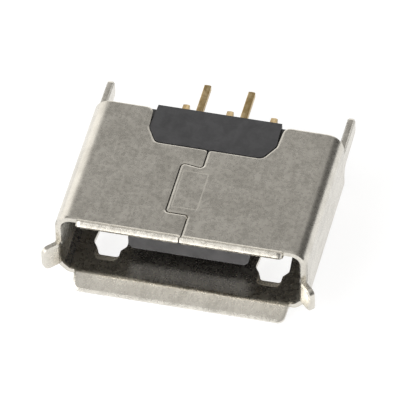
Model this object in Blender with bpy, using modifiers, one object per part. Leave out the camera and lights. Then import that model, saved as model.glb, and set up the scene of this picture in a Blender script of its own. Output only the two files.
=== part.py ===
"""Micro USB socket for a circuit board, upright type: the plug goes in square to the board.

Three kinds of pieces: a steel shell folded from one flat blank, a black moulded
housing with the contact tongue, and five stamped contacts that end in tails.

Frame: the board's surface is the plane y = 0, and the tails pass through it
towards +Y. The mouth faces -Y. The wall with the seam is on top, at +Z, and the
wall with the two latch holes is the floor. The origin is the middle of the tail
pattern. The socket lies on its floor.
"""

import math

import bmesh
import bpy
from mathutils import Matrix, Vector

MM = 0.001

# Mouth and sheet of the shell
MOUTH_WIDTH = 6.9 * MM
MOUTH_HEIGHT = 1.85 * MM
SHEET = 0.22 * MM
TUBE_LENGTH = 4.8 * MM
TOP_BEND = 0.27 * MM
FLOOR_CHAMFER = 0.2 * MM
FLOOR_BEND = 0.08 * MM
EDGE_ROLL = 0.04 * MM

# Flared lips round the mouth
LIP_BEND = 0.3 * MM
TOP_LIP_INSET = 0.18 * MM
TOP_LIP_LENGTH = 0.42 * MM
TOP_LIP_ANGLE = math.radians(43)
TOP_LIP_CORNER = 0.17 * MM
FLOOR_LIP_INSET = 0.107 * MM
FLOOR_LIP_TAPER = 0.08 * MM
FLOOR_LIP_LENGTH = 0.62 * MM
FLOOR_LIP_ANGLE = math.radians(27)
FLOOR_LIP_CORNER = 0.2 * MM
EAR_LIFT = 0.02 * MM
EAR_WIDTH = 0.8 * MM
EAR_LENGTH = 0.68 * MM
EAR_ANGLE = math.radians(44)
EAR_CORNER = 0.2 * MM

# Board legs, one in the plane of each side wall
LEG_LOW = 0.75 * MM
LEG_WIDTH = 0.67 * MM
LEG_REACH = 1.45 * MM
LEG_CORNER = 0.15 * MM
LEG_TAPER = 0.08 * MM
LEG_FILLET = 0.2 * MM

# Opening at the rear of the top wall, measured from the shell's rear edge
OPENING_LENGTH = 1.35 * MM
OPENING_SHOULDER = 0.8 * MM
OPENING_FRONT_HALF = 1.57 * MM
OPENING_HALF = 1.88 * MM
OPENING_REAR_HALF = 1.93 * MM
OPENING_CORNER = 0.2 * MM

# Seam on top, where a dovetail tab of the right half locks into the left half
SEAM_GAP = 0.04 * MM
SEAM_FRONT_X = 0.03 * MM
TAB_REACH = 0.63 * MM
TAB_FROM_MOUTH = 0.83 * MM
TAB_TO_OPENING = 0.63 * MM
TAB_FLARE = 0.1 * MM
TAB_CORNER = 0.13 * MM
SEAM_CORNER = 0.1 * MM

# Frame pressed round the middle of the tab
STAMP_SIDE_INSET = 0.1 * MM
STAMP_FRONT_INSET = 0.2 * MM
STAMP_REAR_INSET = 0.3 * MM
STAMP_WIDTH = 0.79 * MM
STAMP_LINE = 0.05 * MM
STAMP_DEPTH = 0.012 * MM

# Latch holes in the floor, each with a ramp pressed into its front rim
LATCH_INSET = 1.08 * MM
LATCH_WIDTH = 0.98 * MM
LATCH_REAR_WIDTH = 0.84 * MM
LATCH_FRONT = 0.97 * MM
LATCH_FRONT_WIDTH = 0.66 * MM
LATCH_SHOULDER = 0.23 * MM
LATCH_LENGTH = 1.03 * MM
LATCH_CORNER = 0.18 * MM
RAMP_FOOT_WIDTH = 0.6 * MM
RAMP_FOOT_LENGTH = 0.08 * MM
RAMP_WIDTH = 0.71 * MM
RAMP_LENGTH = 0.47 * MM
RAMP_CORNER = 0.2 * MM

# Moulded housing
HOUSING_GAP = 0.02 * MM
SEAT_HEIGHT = 0.13 * MM
BLOCK_LENGTH = 1.63 * MM
KEY_REAR_HALF = 1.82 * MM
KEY_SETBACK = 0.02 * MM
KEY_TOP_DROP = 0.01 * MM
TONGUE_LENGTH = 2.46 * MM
TONGUE_WIDTH = 3.5 * MM
TONGUE_UNDERSIDE = 0.33 * MM
TONGUE_THICKNESS = 0.63 * MM
TONGUE_ROOT = 0.1 * MM
TONGUE_CORNER = 0.12 * MM

# Contacts and their tails
CONTACT_COUNT = 5
CONTACT_PITCH = 0.65 * MM
CONTACT_STOCK = 0.2 * MM
CONTACT_WIDTH = 0.3 * MM
CONTACT_GAP = 0.02 * MM
CONTACT_PROUD = 0.05 * MM
CONTACT_SETBACK = 0.16 * MM
CONTACT_NECK = 0.3 * MM
CONTACT_RISER = 0.65 * MM
CONTACT_BEND = 0.22 * MM
CONTACT_EDGE = 0.015 * MM
TAIL_WIDTH = 0.2 * MM
TAIL_ROW_SPACING = 0.93 * MM
TAIL_REACH = 1.22 * MM
TAIL_POINT = 0.05 * MM

# Fineness of the curves
BEND_FACET = math.radians(11.25)
CORNER_FACET = math.radians(22.5)
CUTTER_MARGIN = 0.1 * MM
FLAT_TOLERANCE = math.radians(0.5)
MERGE = 0.001 * MM

# Places that follow from the sizes above
MOUTH_Y = -(TUBE_LENGTH + SEAT_HEIGHT)
HALF_WIDTH = MOUTH_WIDTH / 2
OPENING_FRONT = TUBE_LENGTH - OPENING_LENGTH
TAB_REAR = OPENING_FRONT - TAB_TO_OPENING
LATCH_X = HALF_WIDTH - LATCH_INSET
BLOCK_FRONT = TUBE_LENGTH + SEAT_HEIGHT - BLOCK_LENGTH
TONGUE_FRONT = BLOCK_FRONT - TONGUE_LENGTH
TONGUE_TOP = TONGUE_UNDERSIDE + TONGUE_THICKNESS
LOWER_ROW = TONGUE_TOP + CONTACT_PROUD - CONTACT_STOCK / 2
UPPER_ROW = LOWER_ROW + TAIL_ROW_SPACING
FLOOR_Z = -(LOWER_ROW + UPPER_ROW) / 2

STEEL = ("Tin plated steel", (0.55, 0.54, 0.51), 1.0, 0.42)
MOULDING = ("Black moulding", (0.035, 0.036, 0.038), 0.0, 0.55)
CONTACT_METAL = ("Gold plated bronze", (0.62, 0.50, 0.30), 1.0, 0.35)


def clear_scene():
    """Remove the objects that a new file starts with."""
    for item in list(bpy.data.objects):
        bpy.data.objects.remove(item, do_unlink=True)


def new_collection(name):
    """Return an empty collection linked to the scene."""
    collection = bpy.data.collections.new(name)
    bpy.context.scene.collection.children.link(collection)
    return collection


def new_material(finish):
    """Return a plain material with one finish."""
    name, color, metallic, roughness = finish
    material = bpy.data.materials.new(name)
    material.use_nodes = True
    shader = material.node_tree.nodes["Principled BSDF"]
    shader.inputs["Base Color"].default_value = (*color, 1.0)
    shader.inputs["Metallic"].default_value = metallic
    shader.inputs["Roughness"].default_value = roughness
    material.diffuse_color = (*color, 1.0)
    return material


def corner_arc(before, here, after, radius):
    """Return the points of one outline corner, rounded with the given radius.

    The rounding leaves at least a tenth of each neighbouring edge straight.
    """
    if radius <= 0:
        return [here]
    to_before = (before - here).normalized()
    to_after = (after - here).normalized()
    half_angle = to_before.angle(to_after) / 2
    room = 0.45 * min((before - here).length, (after - here).length)
    radius = min(radius, room * math.tan(half_angle))
    start = here + to_before * (radius / math.tan(half_angle))
    centre = here + (to_before + to_after).normalized() * (radius / math.sin(half_angle))
    turn = math.pi - 2 * half_angle
    if to_before.cross(to_after) > 0:
        turn = -turn
    steps = max(2, math.ceil(abs(turn) / CORNER_FACET))
    spoke = start - centre
    return [centre + Matrix.Rotation(turn * step / steps, 2) @ spoke for step in range(steps + 1)]


def rounded(corners):
    """Return a closed outline from corners given as (x, y, radius)."""
    outline = []
    for index, (x, y, radius) in enumerate(corners):
        before = Vector(corners[index - 1][:2])
        after = Vector(corners[(index + 1) % len(corners)][:2])
        outline += corner_arc(before, Vector((x, y)), after, radius)
    return outline


def outline_mesh(name, loops, thickness=0.0, roll=0.0):
    """Return a mesh of a flat outline in the XY plane, with its holes.

    It is as thick as asked, and its rims are rounded off by roll.
    """
    curve = bpy.data.curves.new(name, "CURVE")
    curve.dimensions = "2D"
    curve.fill_mode = "BOTH"
    curve.extrude = thickness / 2 - roll
    curve.bevel_depth = roll
    curve.bevel_resolution = 0
    curve.offset = -roll
    for loop in loops:
        spline = curve.splines.new("POLY")
        spline.points.add(len(loop) - 1)
        for point, (x, y) in zip(spline.points, loop):
            point.co = (x, y, 0.0, 1.0)
        spline.use_cyclic_u = True
    holder = bpy.data.objects.new(name, curve)
    bpy.context.scene.collection.objects.link(holder)
    graph = bpy.context.evaluated_depsgraph_get()
    mesh = bpy.data.meshes.new_from_object(holder.evaluated_get(graph))
    bpy.data.objects.remove(holder, do_unlink=True)
    bpy.data.curves.remove(curve)
    body = bmesh.new()
    body.from_mesh(mesh)
    bmesh.ops.remove_doubles(body, verts=body.verts, dist=MERGE)
    bmesh.ops.recalc_face_normals(body, faces=body.faces)
    body.to_mesh(mesh)
    body.free()
    return mesh


def tidy_mesh(mesh):
    """Join the flat faces of a finished mesh."""
    body = bmesh.new()
    body.from_mesh(mesh)
    join_flat_faces(body)
    body.to_mesh(mesh)
    body.free()


def join_flat_faces(body):
    """Join the triangles of each flat region into large faces."""
    bmesh.ops.dissolve_degenerate(body, dist=MERGE, edges=body.edges)
    bmesh.ops.dissolve_limit(body, angle_limit=FLAT_TOLERANCE, verts=body.verts, edges=body.edges)


def move_mesh(mesh, matrix):
    """Place a finished mesh, with its flat faces joined and still pointing outwards."""
    tidy_mesh(mesh)
    mesh.transform(matrix, shape_keys=False)
    if matrix.determinant() < 0:
        mesh.flip_normals()
    mesh.update()


def add_part(name, mesh, collection, material=None):
    """Add a named object to a collection."""
    mesh.name = name
    part = bpy.data.objects.new(name, mesh)
    collection.objects.link(part)
    if material is not None:
        mesh.materials.clear()
        mesh.materials.append(material)
    return part


def add_cutter(name, mesh, collection):
    """Add a tool shape that is left out of the finished model."""
    cutter = add_part(name, mesh, collection)
    cutter.hide_render = True
    cutter.display_type = "WIRE"
    return cutter


def combine(part, tool, operation):
    """Cut a tool shape from a part, or join it on."""
    step = part.modifiers.new(tool.name, "BOOLEAN")
    step.operation = operation
    step.solver = "EXACT"
    step.object = tool


def bevel_edges(part, width, segments):
    """Round the sharp edges of a part."""
    step = part.modifiers.new("Edges", "BEVEL")
    step.width = width
    step.segments = segments
    step.limit_method = "ANGLE"
    step.angle_limit = math.radians(60)


def shade(part):
    """Shade a part smooth, with its sharp edges kept."""
    part.data.shade_smooth()
    part.data.set_sharp_from_angle(angle=math.radians(35))


class FoldLine:
    """A line of straight runs and bends, which a flat strip follows when it is folded.

    Each bend turns to the left of the direction of travel by its angle, or to the
    right where the angle is negative.
    """

    def __init__(self, start, heading):
        self.point = Vector(start)
        self.heading = heading
        self.length = 0.0
        self.pieces = []
        self.creases = []
        self.runs = {}

    def straight(self, length, name=""):
        """Go straight on, and keep where a named run begins."""
        self.runs[name] = (self.length, self.point.copy(), self.heading)
        self.pieces.append((self.length, length, 0.0, self.point.copy(), self.heading))
        self.point += direction(self.heading) * length
        self.length += length

    def bend(self, angle, radius):
        """Turn through an angle round a bend of the given radius."""
        length = abs(angle) * radius
        self.pieces.append((self.length, length, angle, self.point.copy(), self.heading))
        steps = max(1, round(abs(angle) / BEND_FACET))
        self.creases += [self.length + length * step / steps for step in range(steps + 1)]
        side = math.copysign(radius, angle)
        centre = self.point + direction(self.heading + math.pi / 2) * side
        self.heading += angle
        self.point = centre - direction(self.heading + math.pi / 2) * side
        self.length += length

    def at(self, distance):
        """Return the point at a distance along the line, and the heading there."""
        begin, length, angle, point, heading = self.pieces[0]
        for piece in self.pieces:
            if piece[0] <= distance:
                begin, length, angle, point, heading = piece
        travel = distance - begin
        if angle == 0 or length == 0:
            return point + direction(heading) * travel, heading
        share = min(travel / length, 1.0)
        side = math.copysign(length / abs(angle), angle)
        centre = point + direction(heading + math.pi / 2) * side
        turned = heading + angle * share
        return centre - direction(turned + math.pi / 2) * side, turned


def direction(heading):
    """Return the unit vector at a heading."""
    return Vector((math.cos(heading), math.sin(heading)))


def shell_section():
    """Return the fold line of the shell's inner face, from the floor's middle to the seam."""
    floor_tangent = FLOOR_BEND * math.tan(math.pi / 8)
    line = FoldLine((0.0, 0.0), 0.0)
    line.straight(HALF_WIDTH - FLOOR_CHAMFER - floor_tangent, "floor")
    line.bend(math.pi / 4, FLOOR_BEND)
    line.straight(FLOOR_CHAMFER * math.sqrt(2) - 2 * floor_tangent)
    line.bend(math.pi / 4, FLOOR_BEND)
    line.straight(MOUTH_HEIGHT - FLOOR_CHAMFER - floor_tangent - TOP_BEND, "wall")
    line.bend(math.pi / 2, TOP_BEND)
    line.straight(HALF_WIDTH - TOP_BEND, "top")
    return line


def lip_line(angle, length):
    """Return the fold line of a lip: forward first, then outward."""
    line = FoldLine((0.0, 0.0), 0.0)
    line.bend(angle, LIP_BEND)
    line.straight(max(length - line.length, 0.0))
    return line


def side_distance(section, height):
    """Return where a height on the side wall lies along the section."""
    begin, foot, _ = section.runs["wall"]
    return begin + height - foot.y


def top_distance(section, x):
    """Return where a place on the top wall lies along the section."""
    return section.length - x


def seam_corners(section, half):
    """Return one half's corners along the seam, from the lip to the rear opening.

    The tab belongs to the right half, half = 1, and its pocket to the left, half = -1.
    """
    shift = half * SEAM_GAP / 2
    places = [
        (SEAM_FRONT_X + shift, -TOP_LIP_LENGTH, 0.0),
        (SEAM_FRONT_X + shift, TAB_FROM_MOUTH + shift, SEAM_CORNER + shift),
        (-TAB_REACH + shift, TAB_FROM_MOUTH + shift, SEAM_CORNER - shift),
        (-TAB_REACH + shift, TAB_REAR - shift, TAB_CORNER - shift),
        (shift, TAB_REAR - TAB_FLARE - shift, SEAM_CORNER + shift),
        (shift, OPENING_FRONT, SEAM_CORNER),
    ]
    return [(top_distance(section, x * half) * half, y, radius) for x, y, radius in places]


def half_blank(section, half):
    """Return the corners of half the flat blank, from the floor's lip to the floor's rear."""
    floor_lip = HALF_WIDTH - FLOOR_CHAMFER - FLOOR_LIP_INSET
    top_lip = section.runs["top"][0] + TOP_LIP_INSET
    ear_low = section.runs["wall"][0] + EAR_LIFT
    ear_high = ear_low + EAR_WIDTH
    leg_low = side_distance(section, LEG_LOW)
    leg_high = leg_low + LEG_WIDTH
    leg_end = TUBE_LENGTH + LEG_REACH
    front = [
        (floor_lip - FLOOR_LIP_TAPER, -FLOOR_LIP_LENGTH, FLOOR_LIP_CORNER),
        (floor_lip, 0.0, 0.0),
        (ear_low, 0.0, 0.0),
        (ear_low, -EAR_LENGTH, EAR_CORNER),
        (ear_high, -EAR_LENGTH, EAR_CORNER),
        (ear_high, 0.0, 0.0),
        (top_lip, 0.0, 0.0),
        (top_lip, -TOP_LIP_LENGTH, TOP_LIP_CORNER),
    ]
    rear = [
        (top_distance(section, OPENING_FRONT_HALF), OPENING_FRONT, OPENING_CORNER),
        (top_distance(section, OPENING_HALF), TUBE_LENGTH - OPENING_SHOULDER, OPENING_CORNER),
        (top_distance(section, OPENING_REAR_HALF), TUBE_LENGTH, OPENING_CORNER),
        (leg_high, TUBE_LENGTH, 0.0),
        (leg_high, leg_end, LEG_CORNER),
        (leg_low + LEG_TAPER, leg_end, LEG_CORNER),
        (leg_low, TUBE_LENGTH, LEG_FILLET),
    ]
    front = [(along * half, y, radius) for along, y, radius in front]
    rear = [(along * half, y, radius) for along, y, radius in rear]
    return front + seam_corners(section, half) + rear


def latch_hole(side):
    """Return the outline of one latch hole in the blank, without its ramp."""
    half = [
        (LATCH_FRONT_WIDTH / 2, LATCH_FRONT, 0.0),
        (LATCH_WIDTH / 2, LATCH_FRONT + LATCH_SHOULDER, LATCH_CORNER),
        (LATCH_REAR_WIDTH / 2, LATCH_FRONT + LATCH_LENGTH, LATCH_CORNER),
    ]
    corners = half + [(-x, y, radius) for x, y, radius in reversed(half)]
    return [(side * LATCH_X + point.x, point.y) for point in rounded(corners)]


def crease(body, place, normal, near=None):
    """Cut a flat blank along a line, so that it can bend there.

    Where near is given, only the faces whose middle it accepts are cut.
    """
    faces = [face for face in body.faces if near is None or near(face.calc_center_median())]
    edges = {edge for face in faces for edge in face.edges}
    verts = {vertex for face in faces for vertex in face.verts}
    bmesh.ops.bisect_plane(body, geom=list(verts) + list(edges) + faces, dist=MERGE,
                           plane_co=place, plane_no=normal)


def shell_mesh():
    """Return the shell's sheet, folded from its flat blank."""
    section = shell_section()
    wall_start = section.runs["wall"][0]
    top_start = section.runs["top"][0]
    lips = [
        (0.0, wall_start, "floor", lip_line(FLOOR_LIP_ANGLE, FLOOR_LIP_LENGTH)),
        (wall_start, top_start, "wall", lip_line(EAR_ANGLE, EAR_LENGTH)),
        (top_start, math.inf, "top", lip_line(TOP_LIP_ANGLE, TOP_LIP_LENGTH)),
    ]
    right = half_blank(section, 1)
    left = half_blank(section, -1)
    outline = rounded(right + left[::-1])
    mesh = outline_mesh("shell", [outline, latch_hole(1), latch_hole(-1)], SHEET, EDGE_ROLL)
    body = bmesh.new()
    body.from_mesh(mesh)
    for along in section.creases:
        crease(body, (along, 0.0, 0.0), (1.0, 0.0, 0.0))
        crease(body, (-along, 0.0, 0.0), (1.0, 0.0, 0.0))
    crease(body, (0.0, 0.0, 0.0), (0.0, 1.0, 0.0))
    for near, far, _, lip in lips:
        for along in lip.creases[1:]:
            crease(body, (0.0, -along, 0.0), (0.0, 1.0, 0.0),
                   lambda middle: middle.y < 0 and near < abs(middle.x) < far)
    bmesh.ops.remove_doubles(body, verts=body.verts, dist=MERGE)
    bmesh.ops.dissolve_degenerate(body, dist=MERGE, edges=body.edges)
    for vertex in body.verts:
        vertex.co = folded(section, lips, vertex.co)
    join_flat_faces(body)
    bmesh.ops.recalc_face_normals(body, faces=body.faces)
    body.to_mesh(mesh)
    body.free()
    return mesh


def folded(section, lips, place):
    """Return where a point of the flat blank lies once the shell is folded.

    The blank's lower face becomes the shell's inner face.
    """
    side = math.copysign(1.0, place.x)
    along = abs(place.x)
    depth = place.z + SHEET / 2
    if place.y > -MERGE:
        point, heading = section.at(along)
        point = point + direction(heading - math.pi / 2) * depth
        return Vector((side * point.x, MOUTH_Y + place.y, FLOOR_Z + point.y))
    _, _, run, lip = next(entry for entry in lips if entry[0] <= along < entry[1])
    begin, point, heading = section.runs[run]
    reach, flare = lip.at(-place.y)
    outward = reach.y + depth * math.cos(flare)
    forward = reach.x - depth * math.sin(flare)
    point = point + direction(heading) * (along - begin) + direction(heading - math.pi / 2) * outward
    return Vector((side * point.x, MOUTH_Y - forward, FLOOR_Z + point.y))


def ramp_outline(width, length, side):
    """Return the outline of a ramp at one level, open into its latch hole at the rear."""
    front = LATCH_FRONT - length
    rear = LATCH_FRONT + CUTTER_MARGIN
    corners = [(width / 2, rear, 0.0), (-width / 2, rear, 0.0),
               (-width / 2, front, RAMP_CORNER), (width / 2, front, RAMP_CORNER)]
    return [(side * LATCH_X + point.x, MOUTH_Y + point.y) for point in rounded(corners)]


def ramp_mesh(side):
    """Return the tool that presses the ramp into the front rim of a latch hole.

    It is lofted from its foot on the floor's outer face to its rim on the inner
    face, and goes straight on past both.
    """
    foot = ramp_outline(RAMP_FOOT_WIDTH, RAMP_FOOT_LENGTH, side)
    rim = ramp_outline(RAMP_WIDTH, RAMP_LENGTH, side)
    low = FLOOR_Z - SHEET
    levels = [(foot, low - CUTTER_MARGIN), (foot, low), (rim, FLOOR_Z), (rim, FLOOR_Z + CUTTER_MARGIN)]
    body = bmesh.new()
    rings = [[body.verts.new((x, y, height)) for x, y in outline] for outline, height in levels]
    body.faces.new(rings[0])
    body.faces.new(rings[-1])
    count = len(rings[0])
    for lower, upper in zip(rings, rings[1:]):
        for index in range(count):
            after = (index + 1) % count
            body.faces.new((lower[index], lower[after], upper[after], upper[index]))
    bmesh.ops.recalc_face_normals(body, faces=body.faces)
    mesh = bpy.data.meshes.new("ramp")
    body.to_mesh(mesh)
    body.free()
    return mesh


def stamp_mesh():
    """Return the frame-shaped tool that marks the tab."""
    frames = []
    for inset in (0.0, STAMP_LINE):
        left = -TAB_REACH + STAMP_SIDE_INSET + inset
        right = -TAB_REACH + STAMP_SIDE_INSET + STAMP_WIDTH - inset
        front = TAB_FROM_MOUTH + STAMP_FRONT_INSET + inset
        rear = TAB_REAR - STAMP_REAR_INSET - inset
        frames.append([(left, front), (right, front), (right, rear), (left, rear)])
    mesh = outline_mesh("stamp", frames, 2 * STAMP_DEPTH)
    move_mesh(mesh, Matrix.Translation((0.0, MOUTH_Y, FLOOR_Z + MOUTH_HEIGHT + SHEET)))
    return mesh


def build_shell(parts, tools, material):
    """Make the folded steel shell."""
    shell = add_part("shell", shell_mesh(), parts, material)
    for side, label in ((-1, "left"), (1, "right")):
        combine(shell, add_cutter("ramp_" + label, ramp_mesh(side), tools), "DIFFERENCE")
    combine(shell, add_cutter("stamp", stamp_mesh(), tools), "DIFFERENCE")
    shade(shell)


def section_outline(gap):
    """Return the mouth's section as a closed outline, set inwards by a gap."""
    section = shell_section()
    stops = [0.0] + section.creases
    half = []
    for along in stops:
        point, heading = section.at(along)
        half.append(point - direction(heading - math.pi / 2) * gap)
    return half[1:] + [Vector((-point.x, point.y)) for point in reversed(half[1:])]


def block_mesh():
    """Return the housing's block, which fills the rear of the shell."""
    mesh = outline_mesh("block", [section_outline(HOUSING_GAP)], BLOCK_LENGTH)
    turn = Matrix.Rotation(math.pi / 2, 4, "X")
    place = Matrix.Translation((0.0, -BLOCK_LENGTH / 2, FLOOR_Z))
    move_mesh(mesh, place @ turn)
    return mesh


def key_mesh():
    """Return the raised key that fills the opening in the shell's top wall."""
    corners = []
    for half in (1, -1):
        side = [
            (half * (OPENING_FRONT_HALF - HOUSING_GAP / 2), OPENING_FRONT + HOUSING_GAP, OPENING_CORNER),
            (half * (OPENING_HALF - HOUSING_GAP), TUBE_LENGTH - OPENING_SHOULDER, OPENING_CORNER),
            (half * KEY_REAR_HALF, TUBE_LENGTH + SEAT_HEIGHT - KEY_SETBACK, 0.0),
        ]
        corners += side if half == 1 else side[::-1]
    root = TOP_BEND
    height = root + SHEET - KEY_TOP_DROP
    mesh = outline_mesh("key", [rounded(corners)], height)
    middle = FLOOR_Z + MOUTH_HEIGHT - root + height / 2
    move_mesh(mesh, Matrix.Translation((0.0, MOUTH_Y, middle)))
    return mesh


def tongue_mesh():
    """Return the tongue, a flat bar with its lower long edges chamfered."""
    half = TONGUE_WIDTH / 2
    low = TONGUE_UNDERSIDE
    outline = [(half - TONGUE_CORNER, low), (half, low + TONGUE_CORNER), (half, TONGUE_TOP),
               (-half, TONGUE_TOP), (-half, low + TONGUE_CORNER), (-half + TONGUE_CORNER, low)]
    length = TONGUE_LENGTH + TONGUE_ROOT
    mesh = outline_mesh("tongue", [outline], length)
    turn = Matrix.Rotation(math.pi / 2, 4, "X")
    place = Matrix.Translation((0.0, MOUTH_Y + TONGUE_FRONT + length / 2, FLOOR_Z))
    move_mesh(mesh, place @ turn)
    return mesh


def contact_line(raised):
    """Return the fold line of a contact's middle layer in the plane of Y and Z."""
    line = FoldLine((MOUTH_Y + TONGUE_FRONT + CONTACT_SETBACK, FLOOR_Z + LOWER_ROW), 0.0)
    if raised:
        line.straight(MOUTH_Y + BLOCK_FRONT + CONTACT_RISER - CONTACT_BEND - line.point.x)
        line.bend(math.pi / 2, CONTACT_BEND)
        line.straight(TAIL_ROW_SPACING - 2 * CONTACT_BEND)
        line.bend(-math.pi / 2, CONTACT_BEND)
    line.straight(TAIL_REACH - line.point.x)
    return line


def strip_mesh(raised, x, grow):
    """Return the middle layer of a stamped strip, folded along its line at x.

    The strip is wide on the tongue and narrow in its tail. It is longer and wider
    by grow on each side where it stands for its own passage.
    """
    line = contact_line(raised)
    neck = TONGUE_LENGTH + CONTACT_NECK - CONTACT_SETBACK
    end = line.length + grow
    wide = CONTACT_WIDTH / 2 + grow
    narrow = TAIL_WIDTH / 2 + grow
    side = [(-grow, wide), (neck + grow, wide), (neck + grow, narrow),
            (end - TAIL_POINT, narrow), (end, narrow - TAIL_POINT)]
    outline = [(along, -across) for along, across in side] + side[::-1]
    mesh = outline_mesh("strip", [outline])
    body = bmesh.new()
    body.from_mesh(mesh)
    for along in line.creases:
        crease(body, (along, 0.0, 0.0), (1.0, 0.0, 0.0))
    for vertex in body.verts:
        place, heading = line.at(vertex.co.x)
        vertex.co = (x + vertex.co.y, place.x, place.y)
    join_flat_faces(body)
    body.to_mesh(mesh)
    body.free()
    return mesh


def thicken(part, thickness):
    """Give a folded middle layer its thickness, half on each side."""
    wall = part.modifiers.new("Stock", "SOLIDIFY")
    wall.thickness = thickness
    wall.offset = 0.0
    wall.use_even_offset = True


def contact_places():
    """Yield each contact's name, its place along X and whether its tail is in the upper row."""
    for index in range(CONTACT_COUNT):
        x = (index - (CONTACT_COUNT - 1) / 2) * CONTACT_PITCH
        yield "contact_" + str(index + 1), x, index % 2 == 1


def build_housing(parts, tools, material):
    """Make the black moulded housing, with a passage for each contact."""
    housing = add_part("housing", block_mesh(), parts, material)
    combine(housing, add_cutter("key", key_mesh(), tools), "UNION")
    combine(housing, add_cutter("tongue", tongue_mesh(), tools), "UNION")
    for name, x, raised in contact_places():
        passage = add_cutter("passage_" + name, strip_mesh(raised, x, CONTACT_GAP), tools)
        thicken(passage, CONTACT_STOCK + 2 * CONTACT_GAP)
        combine(housing, passage, "DIFFERENCE")
    shade(housing)


def build_contacts(parts, material):
    """Make the stamped contacts."""
    for name, x, raised in contact_places():
        contact = add_part(name, strip_mesh(raised, x, 0.0), parts, material)
        thicken(contact, CONTACT_STOCK)
        bevel_edges(contact, CONTACT_EDGE, 1)
        shade(contact)


def build_socket():
    """Build the whole socket."""
    clear_scene()
    parts = new_collection("micro_usb_socket")
    tools = new_collection("tools")
    build_shell(parts, tools, new_material(STEEL))
    build_housing(parts, tools, new_material(MOULDING))
    build_contacts(parts, new_material(CONTACT_METAL))


build_socket()
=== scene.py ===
import math

import bmesh
import bpy
from mathutils import Matrix, Vector
from mathutils.bvhtree import BVHTree
from mathutils.geometry import area_tri


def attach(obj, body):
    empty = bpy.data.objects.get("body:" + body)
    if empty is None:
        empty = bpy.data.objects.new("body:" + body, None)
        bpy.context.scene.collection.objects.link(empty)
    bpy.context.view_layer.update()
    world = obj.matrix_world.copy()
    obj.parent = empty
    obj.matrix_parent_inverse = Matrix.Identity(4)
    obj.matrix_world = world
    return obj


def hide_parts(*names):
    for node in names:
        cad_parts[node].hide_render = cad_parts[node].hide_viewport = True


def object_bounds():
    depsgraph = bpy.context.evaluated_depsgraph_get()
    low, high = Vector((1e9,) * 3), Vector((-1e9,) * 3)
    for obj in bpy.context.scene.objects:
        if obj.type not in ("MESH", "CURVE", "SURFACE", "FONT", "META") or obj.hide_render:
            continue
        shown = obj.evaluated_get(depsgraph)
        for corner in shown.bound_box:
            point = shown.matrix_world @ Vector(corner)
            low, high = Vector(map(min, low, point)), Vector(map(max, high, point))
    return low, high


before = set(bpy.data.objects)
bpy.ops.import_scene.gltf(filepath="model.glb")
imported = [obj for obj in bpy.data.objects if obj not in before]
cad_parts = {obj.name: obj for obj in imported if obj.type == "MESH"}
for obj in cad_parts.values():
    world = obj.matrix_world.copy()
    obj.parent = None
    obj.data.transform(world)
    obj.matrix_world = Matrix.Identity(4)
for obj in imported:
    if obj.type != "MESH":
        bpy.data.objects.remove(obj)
cad_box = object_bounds()

MM = 0.001
BODY = "root"

# Camera: its place, its three axes and its lens, the first and the last in millimetres
CAMERA_PLACE = (37.228, -144.194, 150.493)
CAMERA_RIGHT = (0.9721369, 0.2334938, -0.020747)
CAMERA_UP = (-0.1535108, 0.7010135, 0.6964298)
CAMERA_BACK = (0.177156, -0.6738402, 0.717325)
CAMERA_LENS = 664.394
CAMERA_SENSOR = 36.0

# Shell, in millimetres: the sheet's thickness, the clear inside of the tube, how far off its
# inner faces still count as inside, and how far back from the mouth the lips' bends reach
SHEET = 0.22
MOUTH_HALF_WIDTH = 3.45
MOUTH_FLOOR = -1.375
MOUTH_CEILING = 0.475
MOUTH_FRONT = -4.93
MOUTH_MARGIN = 0.02
LIP_BEND_REACH = 0.05

# Shell faces are told apart by the depth of sheet behind them, in thicknesses
STAMPED_BELOW = 0.97
WALL_BELOW = 1.14
RIM_BELOW = 1.5

# Contact row, in millimetres, measured from the middle of the tail pattern
CONTACT_COUNT = 5
CONTACT_PITCH = 0.65
CONTACT_STOCK = 0.2
CONTACT_WIDTH = 0.3
CONTACT_START = -3.93
CONTACT_NECK = -1.33
TAIL_WIDTH = 0.2
TAIL_END = 1.22
TAIL_POINT = 0.06
LOWER_ROW = -0.465
UPPER_ROW = 0.465
RISER = -0.98
CONTACT_BEND = 0.22
CONTACT_ROUNDING = 0.018
ROUNDED_ABOVE = math.radians(60)
TAIL_POINT_SHARE = 0.45

# Edges, in millimetres: how close corners are welded, and the width added to a rim's roll
WELD = 0.0002
ROLL_WIDENING = 0.025

# Edges: the angles that tell sharp, flat and bent faces apart
SHARP_ANGLE = math.radians(50)
FLAT_ANGLE = math.radians(0.5)
BENT = math.cos(math.radians(4))

# Shading: how strongly larger regions win over smaller ones, how far rims lean from their
# wall's normal to their own, and the normal of the stamped frame
REGION_POWER = 3
RIM_INNER_LEAN = 0.3
RIM_OUTER_LEAN = 0.42
STAMPED_NORMAL = Vector((0.0, -0.24, 1.0)).normalized()

# Grain: the share and the scale of its broad part, how softly its crowns begin, and the
# heights of its hollows and crowns
BROAD_SHARE = 0.3
BROAD_SCALE = 0.35
CROWN_SOFTNESS = 0.12
GRAIN_HEIGHTS = (0.35, 0.65)

# Mottling: how the marks are drawn out along the piece
MARK_STRETCH = (1.0, 0.12, 1.0)

# Floor: half its side in metres, how much light it scatters, and how bright it looks
FLOOR_HALF_SIDE = 1.5
FLOOR_GREY = (0.3, 0.3, 0.3, 1.0)
FLOOR_GLOW = 0.82
WHITE = (1.0, 1.0, 1.0, 1.0)

# Sky: its tint, and its strength low all round, low on the right and high, with what is
# added overhead and low in front
SKY_TINT = (1.0, 0.985, 0.96, 1.0)
SKY_LOW = 1.3
SKY_RIGHT = 0.12
SKY_HIGH = 0.26
SKY_OVERHEAD = 0.4
SKY_FRONT = 6.0

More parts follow.
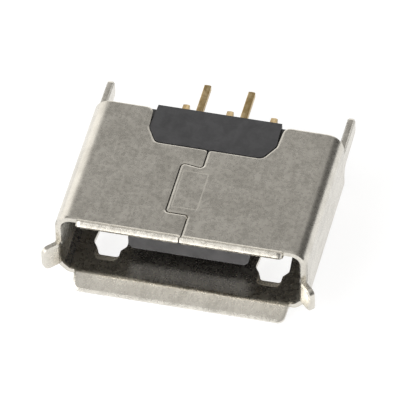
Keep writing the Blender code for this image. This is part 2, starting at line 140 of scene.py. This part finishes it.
# Sky: where one strength passes into the next, as parts of a direction of length 1
RIGHT_BAND = (0.2, 0.5)
HIGH_BAND = (0.5, 0.68)
OVERHEAD_BAND = (0.72, 1.0)
LOW_BAND = (0.2, 0.4)
AHEAD_BAND = (-0.85, -0.6)

# Lamp: its place and side in metres, and its power in watts
LAMP_PLACE = Vector((-0.34, -0.26, 0.3))
LAMP_SIDE = 0.4
LAMP_POWER = 1.6


def linear(red, green, blue):
    """Return a shader colour from the 0 to 255 values that a screen shows."""
    def channel(value):
        share = value / 255
        if share <= 0.04045:
            return share / 12.92
        return ((share + 0.055) / 1.055) ** 2.4
    return (channel(red), channel(green), channel(blue), 1.0)


class Nodes:
    """A short way to write node trees: each call adds a node and joins its inputs."""

    def __init__(self, tree):
        self.tree = tree

    def add(self, kind, inputs=None, **settings):
        node = self.tree.nodes.new(kind)
        for name, value in settings.items():
            setattr(node, name, value)
        for name, value in (inputs or {}).items():
            self.join(value, node.inputs[name])
        return node

    def join(self, value, socket):
        if isinstance(value, bpy.types.NodeSocket):
            self.tree.links.new(value, socket)
        else:
            socket.default_value = value

    def math(self, operation, first, second=0.0, clamp=False):
        return self.add("ShaderNodeMath", {0: first, 1: second}, operation=operation,
                        use_clamp=clamp).outputs[0]

    def spread(self, value, low, high, start=0.0, end=1.0):
        """Spread a value from low..high over start..end, smoothly."""
        node = self.add("ShaderNodeMapRange", {"Value": value, "From Min": low, "From Max": high,
                                               "To Min": start, "To Max": end},
                        interpolation_type="SMOOTHSTEP")
        return node.outputs["Result"]

    def blend(self, share, first, second):
        """Return a colour between two, by a share from 0 to 1.

        The Mix node has its colours at inputs 6 and 7, and the result at output 2.
        """
        node = self.add("ShaderNodeMix", {0: share, 6: first, 7: second}, data_type="RGBA")
        return node.outputs[2]

    def combine(self, x=0.0, y=0.0, z=0.0):
        return self.add("ShaderNodeCombineXYZ", {"X": x, "Y": y, "Z": z}).outputs[0]


def open_group(name, kind, inputs, outputs):
    """Return an empty node group's tree, its node writer, its input sockets and its output node.

    Inputs are given as (name, socket kind, starting value), outputs as (name, socket kind).
    """
    tree = bpy.data.node_groups.new(name, kind)
    for label, socket_kind, value in inputs:
        socket = tree.interface.new_socket(label, in_out="INPUT", socket_type=socket_kind)
        if value is not None:
            socket.default_value = value
    for label, socket_kind in outputs:
        tree.interface.new_socket(label, in_out="OUTPUT", socket_type=socket_kind)
    nodes = Nodes(tree)
    given = nodes.add("NodeGroupInput").outputs
    result = nodes.add("NodeGroupOutput")
    return tree, nodes, given, result


def grain_group():
    """Build the fine grain: a pebbled height, and a mask of its bright crowns."""
    tree, nodes, given, result = open_group(
        "Fine grain", "ShaderNodeTree",
        [("Place", "NodeSocketVector", None), ("Pebbles per mm", "NodeSocketFloat", 10.0),
         ("Crown share", "NodeSocketFloat", 0.55)],
        [("Height", "NodeSocketFloat"), ("Crowns", "NodeSocketFloat")])
    fine = nodes.add("ShaderNodeTexNoise", {"Vector": given["Place"], "Scale": given["Pebbles per mm"],
                                            "Detail": 3.0, "Roughness": 0.6}).outputs["Fac"]
    broad_scale = nodes.math("MULTIPLY", given["Pebbles per mm"], BROAD_SCALE)
    broad = nodes.add("ShaderNodeTexNoise", {"Vector": given["Place"], "Scale": broad_scale,
                                             "Detail": 2.0}).outputs["Fac"]
    height = nodes.math("ADD", nodes.math("MULTIPLY", fine, 1.0 - BROAD_SHARE),
                        nodes.math("MULTIPLY", broad, BROAD_SHARE))
    edge = nodes.math("ADD", given["Crown share"], CROWN_SOFTNESS)
    nodes.join(height, result.inputs["Height"])
    nodes.join(nodes.spread(height, given["Crown share"], edge), result.inputs["Crowns"])
    return tree


def mottle_group():
    """Build the mottling: clouds of two tones, with faint marks drawn along the piece."""
    tree, nodes, given, result = open_group(
        "Mottling", "ShaderNodeTree",
        [("Place", "NodeSocketVector", None), ("Clouds per mm", "NodeSocketFloat", 1.2),
         ("Marks per mm", "NodeSocketFloat", 9.0), ("Mark strength", "NodeSocketFloat", 0.3),
         ("Softness", "NodeSocketFloat", 0.2),
         ("Dark tone", "NodeSocketColor", (0.5, 0.5, 0.5, 1.0)),
         ("Light tone", "NodeSocketColor", (0.8, 0.8, 0.8, 1.0))],
        [("Color", "NodeSocketColor")])
    cloud = nodes.add("ShaderNodeTexNoise", {"Vector": given["Place"], "Scale": given["Clouds per mm"],
                                             "Detail": 5.0, "Roughness": 0.6,
                                             "Distortion": 0.4}).outputs["Fac"]
    stretched = nodes.add("ShaderNodeMapping", {"Vector": given["Place"],
                                                "Scale": MARK_STRETCH}).outputs[0]
    mark = nodes.add("ShaderNodeTexNoise", {"Vector": stretched, "Scale": given["Marks per mm"],
                                            "Detail": 2.0}).outputs["Fac"]
    mark = nodes.math("MULTIPLY", nodes.math("SUBTRACT", mark, 0.5), given["Mark strength"])
    low = nodes.math("SUBTRACT", 0.5, given["Softness"])
    high = nodes.math("ADD", 0.5, given["Softness"])
    tone = nodes.spread(nodes.math("ADD", cloud, mark), low, high)
    nodes.join(nodes.blend(tone, given["Dark tone"], given["Light tone"]), result.inputs["Color"])
    return tree


GRAIN = grain_group()
MOTTLE = mottle_group()


def new_material(name):
    """Return a material with its Principled BSDF and the node writer for it."""
    material = bpy.data.materials.new(name)
    material.use_nodes = True
    shader = material.node_tree.nodes["Principled BSDF"]
    return material, shader, Nodes(material.node_tree)


def millimetres(nodes):
    """Return a vector of the piece's own millimetres."""
    place = nodes.add("ShaderNodeTexCoord").outputs["Object"]
    return nodes.add("ShaderNodeMapping", {"Vector": place, "Scale": (1000, 1000, 1000)}).outputs[0]


def finish(name, dark, light, clouds=1.2, marks=0.3, softness=0.2, pebbles=10.0, crowns=0.55,
           rough=(0.25, 0.35), relief=0.3, depth=0.004, metallic=1.0, crown_tone=None):
    """Return a material with mottling and fine grain.

    Colours are screen values. Rough is the roughness in the hollows and on the
    crowns of the grain, relief is the strength of its bump, and depth is its
    height in millimetres.
    """
    material, shader, nodes = new_material(name)
    place = millimetres(nodes)
    mottle = nodes.add("ShaderNodeGroup", node_tree=MOTTLE)
    for label, value in (("Place", place), ("Clouds per mm", clouds), ("Mark strength", marks),
                         ("Softness", softness), ("Dark tone", linear(*dark)),
                         ("Light tone", linear(*light))):
        nodes.join(value, mottle.inputs[label])
    grain = nodes.add("ShaderNodeGroup", node_tree=GRAIN)
    for label, value in (("Place", place), ("Pebbles per mm", pebbles), ("Crown share", crowns)):
        nodes.join(value, grain.inputs[label])
    colour = mottle.outputs["Color"]
    if crown_tone:
        colour = nodes.blend(grain.outputs["Crowns"], colour, linear(*crown_tone))
    nodes.join(colour, shader.inputs["Base Color"])
    roughness = nodes.spread(grain.outputs["Height"], *GRAIN_HEIGHTS, *rough)
    nodes.join(roughness, shader.inputs["Roughness"])
    bump = nodes.add("ShaderNodeBump", {"Height": grain.outputs["Height"], "Strength": relief,
                                        "Distance": depth * MM})
    nodes.join(bump.outputs["Normal"], shader.inputs["Normal"])
    shader.inputs["Metallic"].default_value = metallic
    return material


def merged_copy(node):
    """Return a welded copy of a CAD node's mesh, with its flat faces joined and sharp edges marked."""
    body = bmesh.new()
    body.from_mesh(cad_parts[node].data)
    bmesh.ops.remove_doubles(body, verts=body.verts, dist=WELD * MM)
    bmesh.ops.dissolve_limit(body, angle_limit=FLAT_ANGLE, verts=body.verts, edges=body.edges)
    for face in body.faces:
        face.smooth = True
    for edge in body.edges:
        edge.smooth = edge.calc_face_angle(0.0) < SHARP_ANGLE
    return body


def connected(first, near):
    """Return all the faces that can be reached from one face over the edges that near accepts."""
    found = {first}
    waiting = [first]
    while waiting:
        for edge in waiting.pop().edges:
            if near(edge):
                fresh = [face for face in edge.link_faces if face not in found]
                found.update(fresh)
                waiting += fresh
    return found


def corner_shading(body, kinds):
    """Return a normal for every face corner, in order.

    Where faces meet smoothly, the larger flat region gives its own normal, so
    that flat walls stay flat up to their rims. A rim leans a little away from
    its wall at its inner line, and more at its outer line. The stamped frame
    leans to the front.
    """
    size = {}
    for face in body.faces:
        if face not in size:
            region = connected(face, lambda edge: edge.calc_face_angle(1.0) < FLAT_ANGLE)
            total = sum(member.calc_area() for member in region)
            size.update((member, total) for member in region)
    shading = []
    for face in body.faces:
        near_walls = [other for edge in face.edges for other in edge.link_faces
                      if kinds.get(other) == "wall"]
        for loop in face.loops:
            if kinds.get(face) == "stamped":
                shading.append(STAMPED_NORMAL)
            elif kinds.get(face) == "rim" and near_walls:
                touching = [other for other in loop.vert.link_faces if kinds[other] == "wall"]
                wall = sum((other.normal for other in touching or near_walls), Vector()).normalized()
                lean = RIM_INNER_LEAN if touching else RIM_OUTER_LEAN
                shading.append(wall.lerp(face.normal, lean).normalized())
            else:
                spokes = set(loop.vert.link_edges)
                fan = connected(face, lambda edge: edge in spokes and edge.smooth)
                largest = max(size[member] for member in fan)
                turned = Vector()
                for member in fan:
                    turned += member.normal * (size[member] / largest) ** REGION_POWER
                shading.append(turned.normalized())
    return shading


def new_piece(name, body, materials, kinds=None):
    """Return a new object from a bmesh, which is freed, with its shading and materials."""
    shading = corner_shading(body, kinds or {})
    mesh = bpy.data.meshes.new(name)
    body.to_mesh(mesh)
    body.free()
    for label in ("custom_normal", "sharp_face"):
        if label in mesh.attributes:
            mesh.attributes.remove(mesh.attributes[label])
    if shading:
        mesh.normals_split_custom_set(shading)
    mesh.materials.clear()
    for material in materials:
        mesh.materials.append(material)
    piece = bpy.data.objects.new(name, mesh)
    bpy.context.scene.collection.objects.link(piece)
    return piece


def freeze(piece):
    """Turn a piece and its modifiers into a plain mesh."""
    graph = bpy.context.evaluated_depsgraph_get()
    finished = bpy.data.meshes.new_from_object(piece.evaluated_get(graph))
    piece.modifiers.clear()
    piece.data = finished


def is_inside_tube(place):
    """Say whether a place in millimetres lies on the inner face of the shell's tube."""
    return (abs(place.x) < MOUTH_HALF_WIDTH + MOUTH_MARGIN
            and MOUTH_FRONT + LIP_BEND_REACH < place.y
            and MOUTH_FLOOR - MOUTH_MARGIN < place.z < MOUTH_CEILING + MOUTH_MARGIN)


def inner_places(body):
    """Return a place well inside each face: the middle of its largest triangle."""
    sizes, places = {}, {}
    for loops in body.calc_loop_triangles():
        corners = [loop.vert.co for loop in loops]
        face, area = loops[0].face, area_tri(*corners)
        if area > sizes.get(face, -1.0):
            sizes[face] = area
            places[face] = sum(corners, Vector()) / 3
    return places


def sort_sheet(body):
    """Return a word for every face of the sheet: wall, rim, cut or stamped.

    It is told by how far a line straight in from the face runs inside the
    sheet. The small steps of the stamped frame count as stamped too.
    """
    tree = BVHTree.FromBMesh(body)
    places = inner_places(body)
    kinds = {}
    for face in body.faces:
        start = places[face] - face.normal * 0.001 * MM
        struck = tree.ray_cast(start, -face.normal)[3]
        depth = 0.0 if struck is None else struck / (SHEET * MM)
        kinds[face] = ("stamped" if depth < STAMPED_BELOW else "wall" if depth < WALL_BELOW
                       else "rim" if depth < RIM_BELOW else "cut")
    for face in body.faces:
        beside = {kinds[other] for edge in face.edges for other in edge.link_faces if other != face}
        if kinds[face] == "cut" and "stamped" in beside:
            kinds[face] = "stamped"
    return kinds


def widen_rolls(body, kinds):
    """Draw the outer walls back from their rims, so that the rims roll off gently."""
    moves = {}
    for vertex in body.verts:
        walls = [face for face in vertex.link_faces
                 if kinds[face] == "wall" and not is_inside_tube(face.calc_center_median() / MM)]
        if not walls:
            continue
        outward = sum((face.normal for face in walls), Vector()).normalized()
        back = Vector()
        for edge in vertex.link_edges:
            far = edge.other_vert(vertex)
            if (all(kinds[face] == "rim" for face in edge.link_faces)
                    and any(kinds[face] == "cut" for face in far.link_faces)):
                step = vertex.co - far.co
                back += step - outward * step.dot(outward)
        if back.length > 0:
            moves[vertex] = back.normalized() * ROLL_WIDENING * MM
    for vertex, move in moves.items():
        vertex.co += move
    body.normal_update()


def shell_skin():
    """Make the shell: bright plating outside; inside, duller plating painted lighter as painted light;
    rims and the stamped frame painted lighter as a painted highlight; rough sheared edges.
    """
    finishes = [
        finish("Tin plating", (204, 200, 191), (222, 218, 209), clouds=1.3, marks=0.5,
               pebbles=9.0, rough=(0.24, 0.32), relief=0.4),
        # Inside the mouth: rougher plating, its colour set lighter and not metallic as painted light,
        # so the shaded mouth renders lighter
        finish("Tin plating in the mouth, painted lighter", (226, 215, 196), (242, 233, 216), clouds=1.4, marks=0.2,
               pebbles=9.0, rough=(0.5, 0.6), relief=0.1, metallic=0.0),
        finish("Sheared edge", (48, 47, 45), (88, 86, 82), clouds=4.0, marks=0.6,
               pebbles=7.0, crowns=0.53, rough=(0.5, 0.3), relief=0.9, depth=0.02,
               crown_tone=(176, 173, 166)),
        finish("Tin plating on the bends", (172, 171, 170), (234, 231, 224), clouds=7.0,
               marks=0.4, softness=0.1, pebbles=13.0, rough=(0.24, 0.36), relief=1.0, depth=0.012),
        # Rims and the stamped frame: smoother plating, its colour set lighter as a painted highlight
        finish("Rim and frame, painted highlight", (238, 235, 228), (247, 245, 239), clouds=5.0, marks=0.5,
               pebbles=12.0, rough=(0.16, 0.24), relief=0.2),
    ]
    flat, inside, cut, bent, rim = range(len(finishes))
    body = merged_copy("shell")
    kinds = sort_sheet(body)
    widen_rolls(body, kinds)
    for face in body.faces:
        if kinds[face] == "cut":
            face.material_index = cut
        # rims and the stamped frame take the painted highlight
        elif kinds[face] in ("rim", "stamped"):
            face.material_index = rim
        # the mouth's faces take the plating painted lighter as painted light
        elif is_inside_tube(face.calc_center_median() / MM):
            face.material_index = inside
        elif max(abs(value) for value in face.normal) < BENT:
            face.material_index = bent
        else:
            face.material_index = flat
    piece = new_piece("shell_skin", body, finishes, kinds)
    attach(piece, BODY)
    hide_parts("shell")


def housing_skin():
    """Make the moulded housing."""
    black = finish("Black moulding", (50, 50, 52), (64, 64, 66), clouds=2.6, marks=0.15,
                   pebbles=13.0, rough=(0.42, 0.56), relief=0.35, metallic=0.0)
    piece = new_piece("housing_skin", merged_copy("housing"), [black])
    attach(piece, BODY)
    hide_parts("housing")


def swept_strip(nodes, points, width, stock, bend=None, taper=False):
    """Sweep a flat strip along points, its corners bent round, its last point drawn in."""
    line = nodes.add("GeometryNodeMeshLine", {"Count": len(points)}, mode="OFFSET")
    switch = nodes.add("GeometryNodeIndexSwitch", data_type="VECTOR")
    while len(switch.index_switch_items) < len(points):
        switch.index_switch_items.new()
    nodes.join(nodes.add("GeometryNodeInputIndex").outputs[0], switch.inputs["Index"])
    for index, point in enumerate(points):
        nodes.join(point, switch.inputs[index + 1])
    placed = nodes.add("GeometryNodeSetPosition", {"Geometry": line.outputs[0],
                                                   "Position": switch.outputs[0]})
    curve = nodes.add("GeometryNodeMeshToCurve", {"Mesh": placed.outputs[0]}).outputs[0]
    if bend is not None:
        curve = nodes.add("GeometryNodeFilletCurve", {"Curve": curve, "Count": 6, "Radius": bend},
                          mode="POLY").outputs[0]
    size = 1.0
    if taper:
        tip = nodes.add("GeometryNodeCurveEndpointSelection", {"Start Size": 0, "End Size": 1})
        size = nodes.math("SUBTRACT", 1.0, nodes.math("MULTIPLY", tip.outputs[0], TAIL_POINT_SHARE))
    profile = nodes.add("GeometryNodeCurvePrimitiveQuadrilateral", {"Width": width, "Height": stock})
    sweep = nodes.add("GeometryNodeCurveToMesh", {"Curve": curve, "Profile Curve": profile.outputs[0],
                                                  "Scale": size, "Fill Caps": True})
    return sweep.outputs[0]


def contact_row_tree():
    """Build the contact row: flat and raised contacts in turn, each a blade with a narrower tail."""
    sizes = [("Count", "NodeSocketInt", CONTACT_COUNT)]
    sizes += [(label, "NodeSocketFloat", value * MM) for label, value in (
        ("Pitch", CONTACT_PITCH), ("Stock", CONTACT_STOCK), ("Blade width", CONTACT_WIDTH),
        ("Tail width", TAIL_WIDTH), ("Start", CONTACT_START), ("Neck", CONTACT_NECK),
        ("Riser", RISER), ("Tail end", TAIL_END), ("Tail point", TAIL_POINT),
        ("Lower row", LOWER_ROW), ("Upper row", UPPER_ROW), ("Bend", CONTACT_BEND))]
    inputs = sizes + [("Plating", "NodeSocketMaterial", None)]
    tree, nodes, given, result = open_group("Contact row", "GeometryNodeTree", inputs,
                                            [("Geometry", "NodeSocketGeometry")])

    def spot(along, height):
        return nodes.combine(0.0, along, height)

    lower, upper = given["Lower row"], given["Upper row"]
    shoulder = nodes.math("SUBTRACT", given["Tail end"], given["Tail point"])
    blade = swept_strip(nodes, [spot(given["Start"], lower), spot(given["Neck"], lower)],
                        given["Blade width"], given["Stock"])
    flat_tail = swept_strip(nodes, [spot(given["Neck"], lower), spot(shoulder, lower),
                                    spot(given["Tail end"], lower)],
                            given["Tail width"], given["Stock"], taper=True)
    raised_tail = swept_strip(nodes, [spot(given["Neck"], lower), spot(given["Riser"], lower),
                                      spot(given["Riser"], upper), spot(shoulder, upper),
                                      spot(given["Tail end"], upper)],
                              given["Tail width"], given["Stock"], bend=given["Bend"], taper=True)
    reach = nodes.math("MULTIPLY", nodes.math("SUBTRACT", given["Count"], 1.0), given["Pitch"])
    first = nodes.math("MULTIPLY", reach, -0.5)
    row = nodes.add("GeometryNodeMeshLine", {"Count": given["Count"],
                                             "Start Location": nodes.combine(first),
                                             "Offset": nodes.combine(given["Pitch"])}, mode="OFFSET")
    place = nodes.add("GeometryNodeInputIndex").outputs[0]
    odd = nodes.math("MODULO", place, 2.0)
    even = nodes.math("SUBTRACT", 1.0, odd)
    contacts = nodes.add("GeometryNodeJoinGeometry")
    for tail, turn in ((flat_tail, even), (raised_tail, odd)):
        pair = nodes.add("GeometryNodeJoinGeometry")
        nodes.join(blade, pair.inputs[0])
        nodes.join(tail, pair.inputs[0])
        copies = nodes.add("GeometryNodeInstanceOnPoints", {"Points": row.outputs[0], "Selection": turn,
                                                            "Instance": pair.outputs[0]})
        nodes.join(copies.outputs[0], contacts.inputs[0])
    real = nodes.add("GeometryNodeRealizeInstances", {"Geometry": contacts.outputs[0]})
    plated = nodes.add("GeometryNodeSetMaterial", {"Geometry": real.outputs[0],
                                                   "Material": given["Plating"]})
    nodes.join(plated.outputs[0], result.inputs["Geometry"])
    return tree


def contact_row():
    """Make the row of five contacts."""
    gold = finish("Contact plating", (176, 150, 104), (212, 190, 148), clouds=4.0, marks=0.5,
                  pebbles=12.0, rough=(0.28, 0.42), relief=0.4)
    piece = new_piece("contact_row", bmesh.new(), [gold])
    build = piece.modifiers.new("Contacts", "NODES")
    build.node_group = contact_row_tree()
    for socket in build.node_group.interface.items_tree:
        if socket.name == "Plating":
            build[socket.identifier] = gold
    rounding = piece.modifiers.new("Rounding", "BEVEL")
    rounding.width = CONTACT_ROUNDING * MM
    rounding.segments = 2
    rounding.limit_method = "ANGLE"
    rounding.angle_limit = ROUNDED_ABOVE
    freeze(piece)
    piece.data.shade_smooth()
    piece.data.set_sharp_from_angle(angle=SHARP_ANGLE)
    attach(piece, BODY)
    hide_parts(*["contact_" + str(index + 1) for index in range(CONTACT_COUNT)])


def place_camera():
    """Put the camera in front of the mouth, above it and a little to the right."""
    data = bpy.data.cameras.new("Camera")
    data.lens = CAMERA_LENS
    data.sensor_width = CAMERA_SENSOR
    data.clip_start = 0.01
    data.clip_end = 10.0
    camera = bpy.data.objects.new("Camera", data)
    bpy.context.scene.collection.objects.link(camera)
    turn = Matrix((CAMERA_RIGHT, CAMERA_UP, CAMERA_BACK)).transposed().to_4x4()
    camera.matrix_world = Matrix.Translation(Vector(CAMERA_PLACE) * MM) @ turn
    bpy.context.scene.camera = camera


def lay_floor():
    """Lay the pale floor that the socket lies on."""
    lowest = cad_box[0][2]
    mesh = bpy.data.meshes.new("Floor")
    body = bmesh.new()
    bmesh.ops.create_grid(body, x_segments=1, y_segments=1, size=FLOOR_HALF_SIDE)
    bmesh.ops.translate(body, verts=body.verts, vec=(0.0, 0.0, lowest))
    body.to_mesh(mesh)
    body.free()
    floor = bpy.data.objects.new("Floor", mesh)
    bpy.context.scene.collection.objects.link(floor)
    material = bpy.data.materials.new("Pale floor")
    material.use_nodes = True
    tree = material.node_tree
    tree.nodes.clear()
    nodes = Nodes(tree)
    matt = nodes.add("ShaderNodeBsdfDiffuse", {"Color": FLOOR_GREY})
    rays = nodes.add("ShaderNodeLightPath").outputs
    seen = nodes.math("ADD", rays["Is Camera Ray"], rays["Is Glossy Ray"])
    seen = nodes.math("ADD", seen, rays["Is Transmission Ray"], clamp=True)
    glow = nodes.add("ShaderNodeEmission",
                     {"Color": WHITE, "Strength": nodes.math("MULTIPLY", seen, FLOOR_GLOW)})
    both = nodes.add("ShaderNodeAddShader", {0: matt.outputs[0], 1: glow.outputs[0]})
    nodes.add("ShaderNodeOutputMaterial", {"Surface": both.outputs[0]})
    mesh.materials.append(material)


def light_studio():
    """Light the socket with a sky that is bright low down, save on the right, and one wide lamp."""
    world = bpy.data.worlds.new("Studio")
    bpy.context.scene.world = world
    world.use_nodes = True
    tree = world.node_tree
    tree.nodes.clear()
    nodes = Nodes(tree)
    heading = nodes.add("ShaderNodeTexCoord").outputs["Generated"]
    parts = nodes.add("ShaderNodeSeparateXYZ", {"Vector": heading}).outputs
    horizon = nodes.spread(parts["X"], *RIGHT_BAND, SKY_LOW, SKY_RIGHT)
    level = nodes.spread(parts["Z"], *HIGH_BAND, horizon, SKY_HIGH)
    overhead = nodes.spread(parts["Z"], *OVERHEAD_BAND, 0.0, SKY_OVERHEAD)
    low = nodes.spread(parts["Z"], *LOW_BAND, SKY_FRONT, 0.0)
    ahead = nodes.spread(parts["Y"], *AHEAD_BAND, 1.0, 0.0)
    strength = nodes.math("ADD", nodes.math("ADD", level, overhead),
                          nodes.math("MULTIPLY", low, ahead))
    sky = nodes.add("ShaderNodeBackground", {"Color": SKY_TINT, "Strength": strength})
    nodes.add("ShaderNodeOutputWorld", {"Surface": sky.outputs[0]})

    data = bpy.data.lights.new("Soft box", "AREA")
    data.shape = "SQUARE"
    data.size = LAMP_SIDE
    data.energy = LAMP_POWER
    lamp = bpy.data.objects.new("Soft box", data)
    bpy.context.scene.collection.objects.link(lamp)
    lamp.location = LAMP_PLACE
    lamp.rotation_euler = LAMP_PLACE.to_track_quat("Z", "Y").to_euler()


bpy.context.scene.view_settings.view_transform = "Standard"
place_camera()
lay_floor()
light_studio()
shell_skin()
housing_skin()
contact_row()
